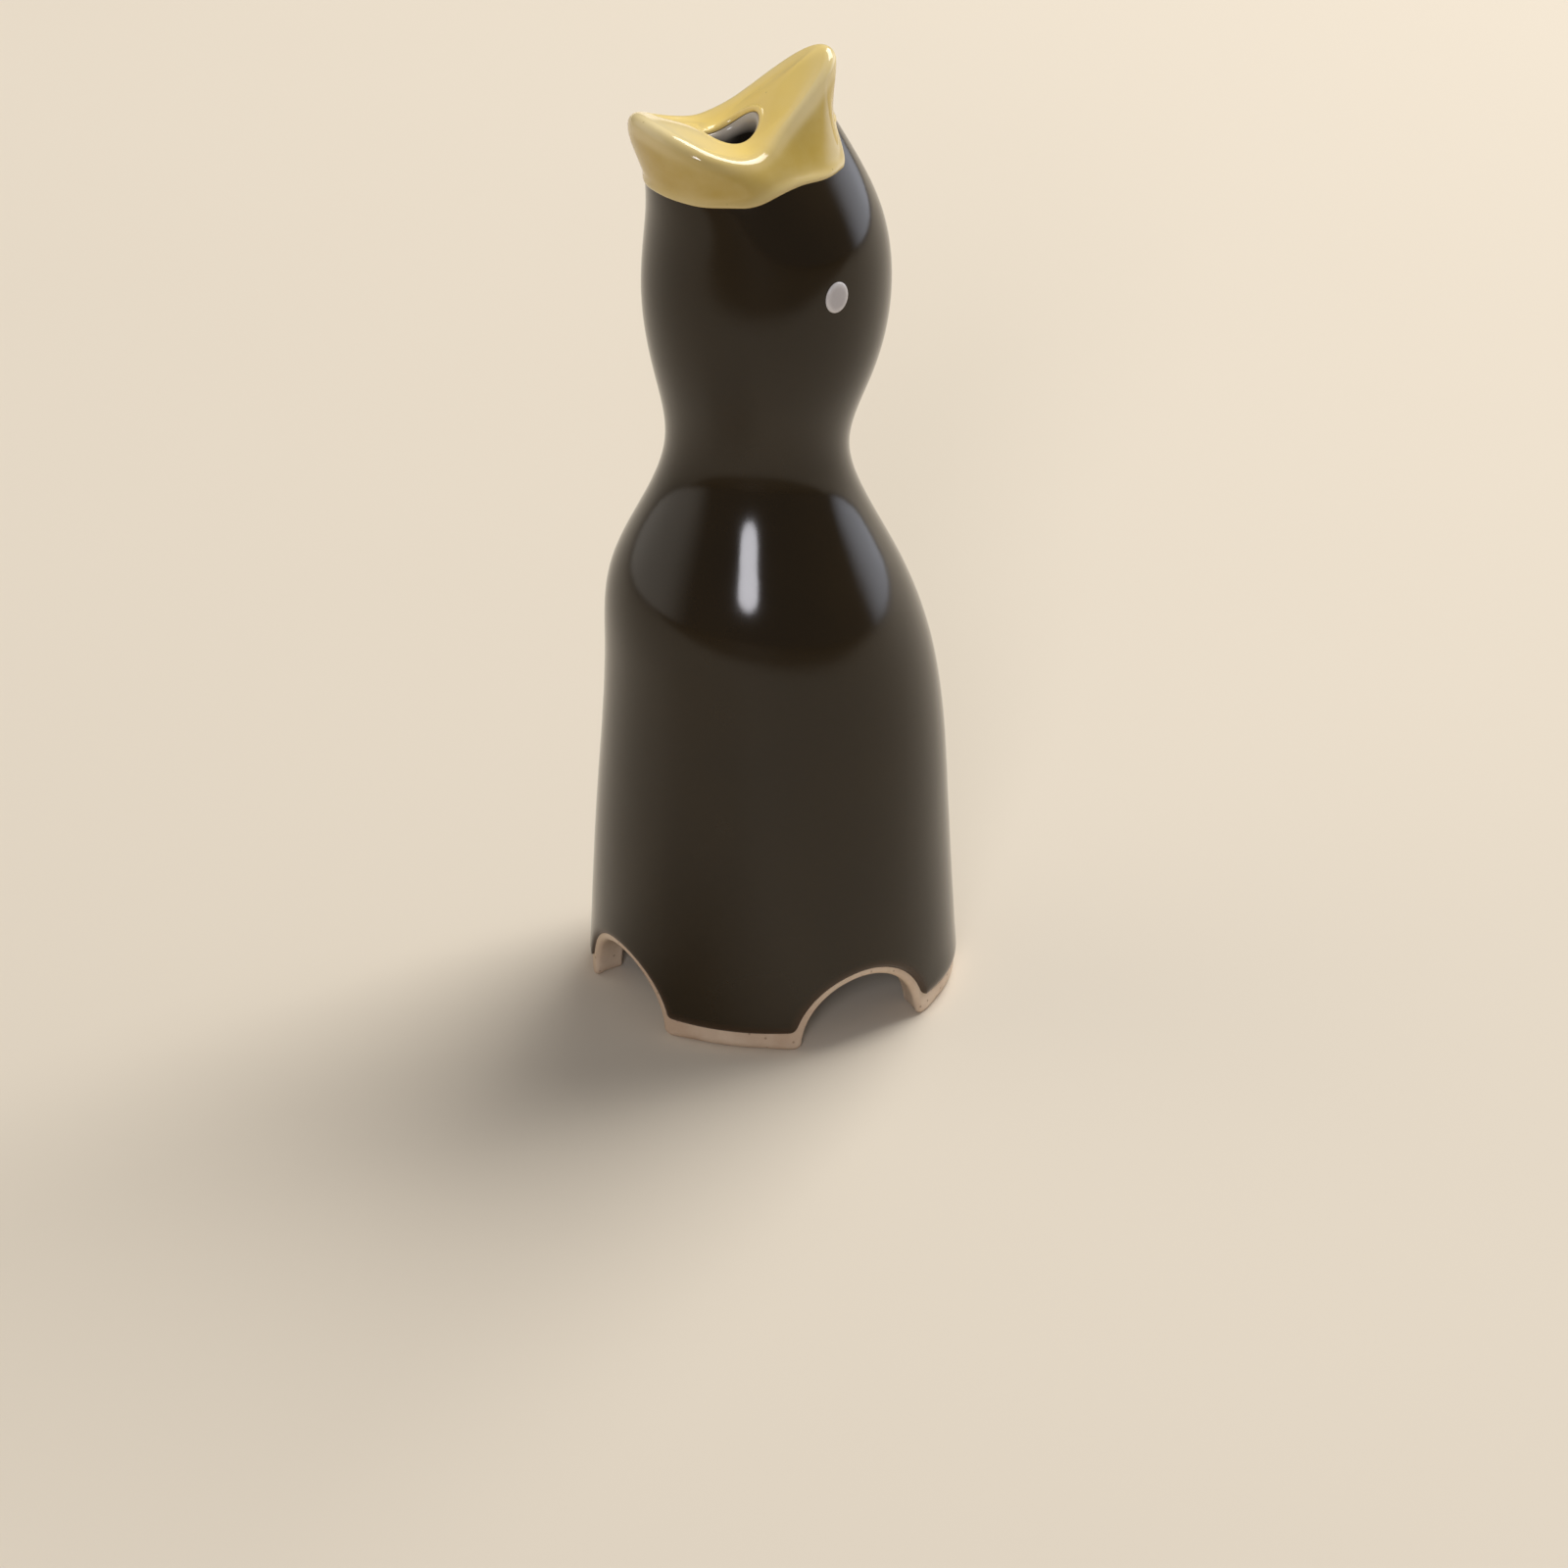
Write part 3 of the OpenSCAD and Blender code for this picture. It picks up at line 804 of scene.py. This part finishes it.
def makeBodyCoat():
    rows = footRows(dryOutline(footRadius, blackGlaze), 0.0, 0.0, foot["rows"]) + bodyRows()[1:]
    wall = np.array([beakWall(turns, s) for s in np.linspace(0, 1, beak["wallRows"] + 1)])
    climb = np.linalg.norm(wall - wall[0], axis=-1).mean(1)
    over = [row for row, rise in zip(wall[1:], climb[1:]) if rise < blackGlaze["underBeak"]]
    points = np.array(rows + over)
    distance, depth, thin = footTaper(points, blackGlaze)
    fromBead = (distance - blackGlaze["edgeTaper"]) / blackGlaze["beadReach"]
    depth = depth * (1 + blackGlaze["bead"] * np.exp(-fromBead ** 2))
    for k in range(len(over)):
        depth[len(rows) + k] *= blackDepthAbove(climb[k + 1])
    mesh = ringMesh("bodySheet", points, False)
    addFloats(mesh, bed=np.zeros_like(depth), depth=depth * blackGlaze["depth"] * mm, thin=thin)
    place(layCoat("bodyGlaze", mesh, makeBlackGlaze(), blackGlaze), "black_glaze")


def beakThinness(make, share):
    # how thin the yellow glaze runs over the wall, the lip, the mouth and the hole's edge
    if make is beakWall:
        return eased(beakGlaze["wallThins"], 1.0, share)
    if make is mouthLip:
        return 1 - (1 - beakGlaze["mouthThin"]) * eased(beakGlaze["lipThickens"], 1.0, share)
    if make is mouthFloor:
        return beakGlaze["mouthThin"] * (1 - eased(0.0, beakGlaze["floorThickens"], share))
    return beakGlaze["holeThin"]


def makeBeakCoat():
    rows, outside, thin = [beakWall(turns, 0.0)], [1.0], [0.0]
    for make, count in beakSections:
        for share in (i / count for i in range(1, count + 1)):
            rows.append(make(turns, share))
            outside.append({beakWall: 1.0, mouthLip: 1 - share}.get(make, 0.0))
            thin.append(beakThinness(make, share))
    points, outside, thin = np.array(rows), np.array(outside), np.array(thin)
    across = np.ones(points.shape[1])
    steps = np.linalg.norm(np.diff(points, axis=0), axis=-1)
    climb = np.concatenate([np.zeros((1, points.shape[1])), np.cumsum(steps, 0)])
    fall = climb[-1] - climb
    swell = beakGlaze["edgeSwell"] * np.exp(-(climb / beakGlaze["swellReach"]) ** 2)
    depth = roundTaper(climb, beakGlaze["edgeTaper"]) * roundTaper(fall, beakGlaze["holeTaper"]) * (1 + swell)
    bed = blackGlaze["depth"] * blackDepthAbove(climb) * (climb < blackGlaze["underBeak"])
    edge = beakGlaze["edgePale"] * np.exp(-(climb / beakGlaze["edgeReach"]) ** 2)
    tipsAndRidgeSheen = beakGlaze["tipPale"] * np.abs(np.cos(turns)) ** beakGlaze["tipSharp"]
    # painted sheen: paleness along the sides of the upper jaw that stands in for a reflection
    tipsAndRidgeSheen = tipsAndRidgeSheen + beakGlaze["ridgeSheen"] * ridgeShare(turns)
    front = beakGlaze["frontPale"] * np.outer(1 - outside, np.clip(np.cos(turns), 0, 1) ** 2)
    pale = np.maximum(beakGlaze["lipPale"] * np.outer(thin, across), edge)
    pale = pale + np.outer(eased(*beakGlaze["tipBand"], thin), tipsAndRidgeSheen) + front
    mesh = ringMesh("beakSheet", points, False)
    # the thin attribute carries thin glaze at the edge, lips and tips, a paler front of the mouth, and
    # painted sheen along the upper jaw's ridges
    addFloats(mesh, bed=bed * mm, depth=depth * beakGlaze["depth"] * mm, thin=np.clip(pale, 0, 1),
              outside=np.outer(outside, across))
    place(layCoat("beakGlazeCoat", mesh, makeBeakGlaze(), beakGlaze), "beak_glaze")


def makeLinerCoat():
    rows = [holeWall(turns, s) for s in np.linspace(0.0, 1.0, beak["throatRows"])]
    rows += [headDome(turns, i / clay["domeRows"]) for i in range(1, clay["domeRows"] + 1)]
    legs = footRows(dryOutline(footRadius - clay["wall"], linerGlaze), 0.0, clay["wall"], foot["rows"])
    points = np.array(rows + flueRows()[1:-1] + legs[::-1])
    _, depth, thin = footTaper(points, linerGlaze)
    fromRim = holeEdge(turns, 1.0)[:, 2] - points[..., 2]
    mesh = ringMesh("linerSheet", points, False)
    addFloats(mesh, bed=np.zeros_like(depth), depth=depth * linerGlaze["depth"] * mm, thin=thin,
              rim=1 - eased(linerGlaze["rimStart"], linerGlaze["rimReach"], fromRim))
    place(layCoat("flueGlaze", mesh, makeLinerGlaze(), linerGlaze), "flue_glaze")


def eyeSheet(name, side):
    # a round sheet of rings and spokes, laid on the side of the head
    count = eyes["spokes"]
    spokes = np.arange(count) * 2 * np.pi / count
    lean = math.radians(eyes["lean"])
    reach = np.linspace(eyes["firstRing"], 1.0, eyes["rings"]) ** eyes["ringPacking"]
    reach = np.concatenate([[0.0], reach])
    u = np.outer(reach, np.cos(spokes)) * eyes["wide"] / 2
    v = np.outer(reach, np.sin(spokes)) * eyes["tall"] / 2
    y = eyes["back"] + u * math.cos(lean) + v * math.sin(lean)
    z = eyes["height"] - u * math.sin(lean) + v * math.cos(lean)
    across, front, back = np.moveaxis(sectionAt(z), -1, 0)
    along = (y - (back - front) / 2) / ((front + back) / 2)
    x = side * across / 2 * np.sqrt(1 - along ** 2)
    points = np.stack([x, y, z], -1) * mm
    middle, rings = points[0, 0], points[1:]
    vertices = [middle, *rings.reshape(-1, 3)]
    faces = [(0, 1 + j, 1 + (j + 1) % count) for j in range(count)]
    for i in range(len(rings) - 1):
        low, high = 1 + i * count, 1 + (i + 1) * count
        faces += [(low + j, high + j, high + (j + 1) % count, low + (j + 1) % count) for j in range(count)]
    if side < 0:
        faces = [face[::-1] for face in faces]
    mesh = bpy.data.meshes.new(name)
    mesh.from_pydata(vertices, [], faces)
    spread = np.concatenate([[0.0], np.repeat(reach[1:], count)])
    sink = 1 - eyes["middleSink"] + eyes["middleSink"] * spread ** 2
    dome = np.sqrt(np.clip(1 - spread ** eyes["edgeRound"], eyes["edgeLeast"], 1)) * sink
    bed = np.full_like(spread, eyes["seat"] * blackGlaze["depth"] * mm)
    addFloats(mesh, bed=bed, depth=dome * eyes["depth"] * mm, thin=eased(*eyes["rimBand"], spread))
    return mesh


def makeEyes():
    enamel = makeEyeEnamel()
    for name, node, side in (("leftEye", "left_eye", 1), ("rightEye", "right_eye", -1)):
        place(layCoat(name, eyeSheet(name + "Disc", side), enamel, eyes), node)


makeBody()
makeBodyCoat()
makeBeakCoat()
makeLinerCoat()
makeEyes()

# Pale floor with painted shade that darkens it towards the camera, in metres and degrees
floorStage = {
    "across": 6.0, "pale": (0.71, 0.635, 0.525), "shade": (0.685, 0.61, 0.50),
    # far is the colour of the painted shade on the floor towards the camera
    "far": (0.27, 0.22, 0.165), "toward": 59.0, "paleReach": 0.15, "farReach": 0.27,
    "cloudScale": 6.0, "cloudDetail": 3.0, "rough": 0.75, "shine": 0.2,
}


def direction(azimuth, elevation):
    a, e = math.radians(azimuth), math.radians(elevation)
    return Vector((math.sin(a) * math.cos(e), -math.cos(a) * math.cos(e), math.sin(e)))


def makeFloor():
    half = floorStage["across"] / 2
    corners = [(-half, -half, 0), (half, -half, 0), (half, half, 0), (-half, half, 0)]
    mesh = bpy.data.meshes.new("floor")
    mesh.from_pydata(corners, [], [(0, 1, 2, 3)])
    material, tree, shader = newMaterial("paleFloor")
    where = addNode(tree, "ShaderNodeTexCoord").outputs["Object"]
    cloud = noiseOf(tree, where, floorStage["cloudScale"], floorStage["cloudDetail"])
    near = mixColours(tree, cloud, floorStage["pale"], floorStage["shade"])
    # painted shade: the floor's colour falls to the far colour towards the camera
    ahead = dotOf(tree, where, direction(floorStage["toward"], 0.0))
    shadowShare = rangeOf(tree, ahead, floorStage["paleReach"], floorStage["farReach"], 0.0, 1.0, "SMOOTHSTEP")
    tree.links.new(mixColours(tree, shadowShare, near, floorStage["far"]), shader.inputs["Base Color"])
    shader.inputs["Roughness"].default_value = floorStage["rough"]
    shader.inputs["Specular IOR Level"].default_value = floorStage["shine"]
    mesh.materials.append(material)
    addObject("floor", mesh)


makeFloor()

# Camera at the photograph's angle: degrees, metres, and the pixel of a 1600 pixel frame where the aim lies
camera = {
    "azimuth": 59.0, "elevation": 26.0, "distance": 0.714, "aim": (0.0, 0.0, 0.036), "clip": (0.01, 20.0),
    "lens": 162.34, "sensor": 36.0, "frame": 1600.0, "aimAcross": 789.1, "aimDown": 663.4,
}


def makeCamera():
    data = bpy.data.cameras.new("camera")
    data.lens, data.sensor_width = camera["lens"], camera["sensor"]
    data.clip_start, data.clip_end = camera["clip"]
    view = addObject("camera", data)
    away = direction(camera["azimuth"], camera["elevation"])
    view.location = Vector(camera["aim"]) + away * camera["distance"]
    focal = camera["lens"] / camera["sensor"] * camera["frame"]
    middle = camera["frame"] / 2
    pitch = math.atan2(camera["aimDown"] - middle, focal)
    yaw = math.atan2(camera["aimAcross"] - middle, focal)
    view.rotation_mode = "QUATERNION"
    turned = Euler((pitch, yaw, 0.0)).to_quaternion()
    view.rotation_quaternion = (-away).to_track_quat("-Z", "Y") @ turned
    bpy.context.scene.camera = view


makeCamera()

# Soft studio lights: degrees round the object and above it, metres and watts
lights = {
    "softbox": {"azimuth": 200.0, "elevation": 51.0, "distance": 1.5, "size": 0.96, "shape": "SQUARE",
                "power": 24.0, "colour": (1.0, 0.985, 0.96)},
    "key": {"azimuth": 53.0, "elevation": 27.0, "distance": 3.0, "size": 0.8, "shape": "DISK",
            "power": 26.0, "colour": (0.95, 0.94, 1.0)},
}


def makeLights():
    for name, light in lights.items():
        data = bpy.data.lights.new(name, "AREA")
        data.shape, data.size = light["shape"], light["size"]
        data.energy, data.color = light["power"], light["colour"]
        lamp = addObject(name, data)
        away = direction(light["azimuth"], light["elevation"])
        lamp.location = Vector(camera["aim"]) + away * light["distance"]
        lamp.rotation_mode = "QUATERNION"
        lamp.rotation_quaternion = (-away).to_track_quat("-Z", "Y")


makeLights()

# Room light: dim, with a soft warm glow on one side and a cool one on the other, in degrees
room = {
    "dim": (0.16, 0.156, 0.155),
    "glows": (
        {"azimuth": -42.0, "elevation": 6.0, "core": 12.0, "reach": 50.0, "colour": (1.05, 0.98, 0.88)},
        {"azimuth": 180.0, "elevation": 4.0, "core": 4.0, "reach": 34.0, "colour": (2.1, 2.2, 2.45)},
    ),
}


def makeRoom():
    world = bpy.data.worlds.new("room")
    world.use_nodes = True
    tree = world.node_tree
    toward = addNode(tree, "ShaderNodeTexCoord").outputs["Generated"]
    light = room["dim"]
    for glow in room["glows"]:
        near = dotOf(tree, toward, direction(glow["azimuth"], glow["elevation"]))
        outer, inner = (math.cos(math.radians(glow[name])) for name in ("reach", "core"))
        share = rangeOf(tree, near, outer, inner, 0.0, 1.0, "SMOOTHSTEP")
        light = mixColours(tree, share, light, glow["colour"])
    tree.links.new(light, tree.nodes["Background"].inputs["Color"])
    bpy.context.scene.world = world


makeRoom()
bpy.context.scene.view_settings.view_transform = "Standard"
print("stage, camera and lights set")
